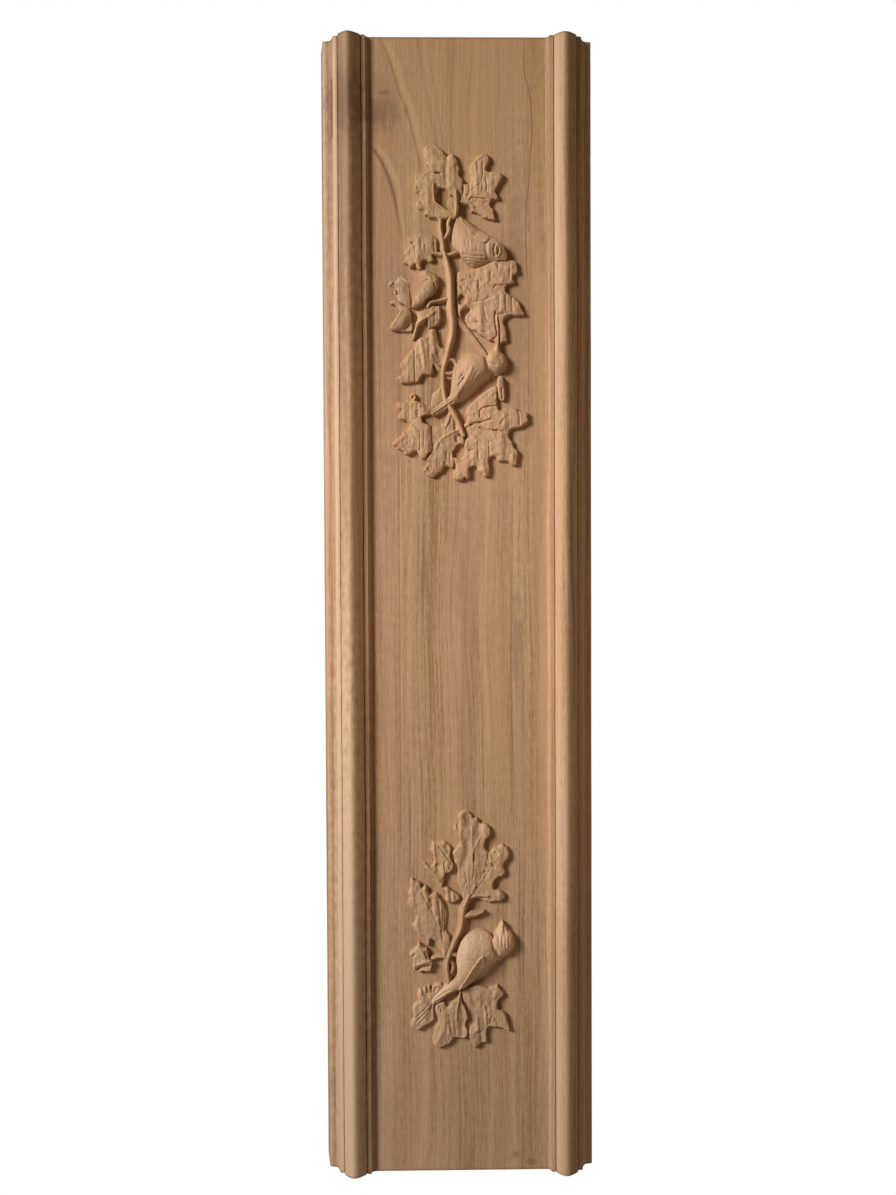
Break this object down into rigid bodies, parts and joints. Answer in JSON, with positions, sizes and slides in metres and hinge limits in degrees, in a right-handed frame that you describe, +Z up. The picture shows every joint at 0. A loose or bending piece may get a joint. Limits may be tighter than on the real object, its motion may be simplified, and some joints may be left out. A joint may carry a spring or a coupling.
{
  "type": "carved chair rail moulding",
  "caption": "Chair rail moulding cut square at both ends, a flat board between beaded edge mouldings, with two sprays of oak leaves and birds carved in relief.",
  "frame": {"origin": "middle of the flat back, halfway along the board", "axes": "+Z up along the board as shown, +X to the viewer's right, -Y out of the carved face, +Y into the wall"},
  "size_m": [0.145, 0.032, 0.596],
  "materials": {
    "hardwood": "bare light brown hardwood, sanded smooth, matt, with fine tool marks on the carving"
  },
  "bodies": {
    "root": {"carved_moulding": "hardwood"}
  },
  "joints": []
}
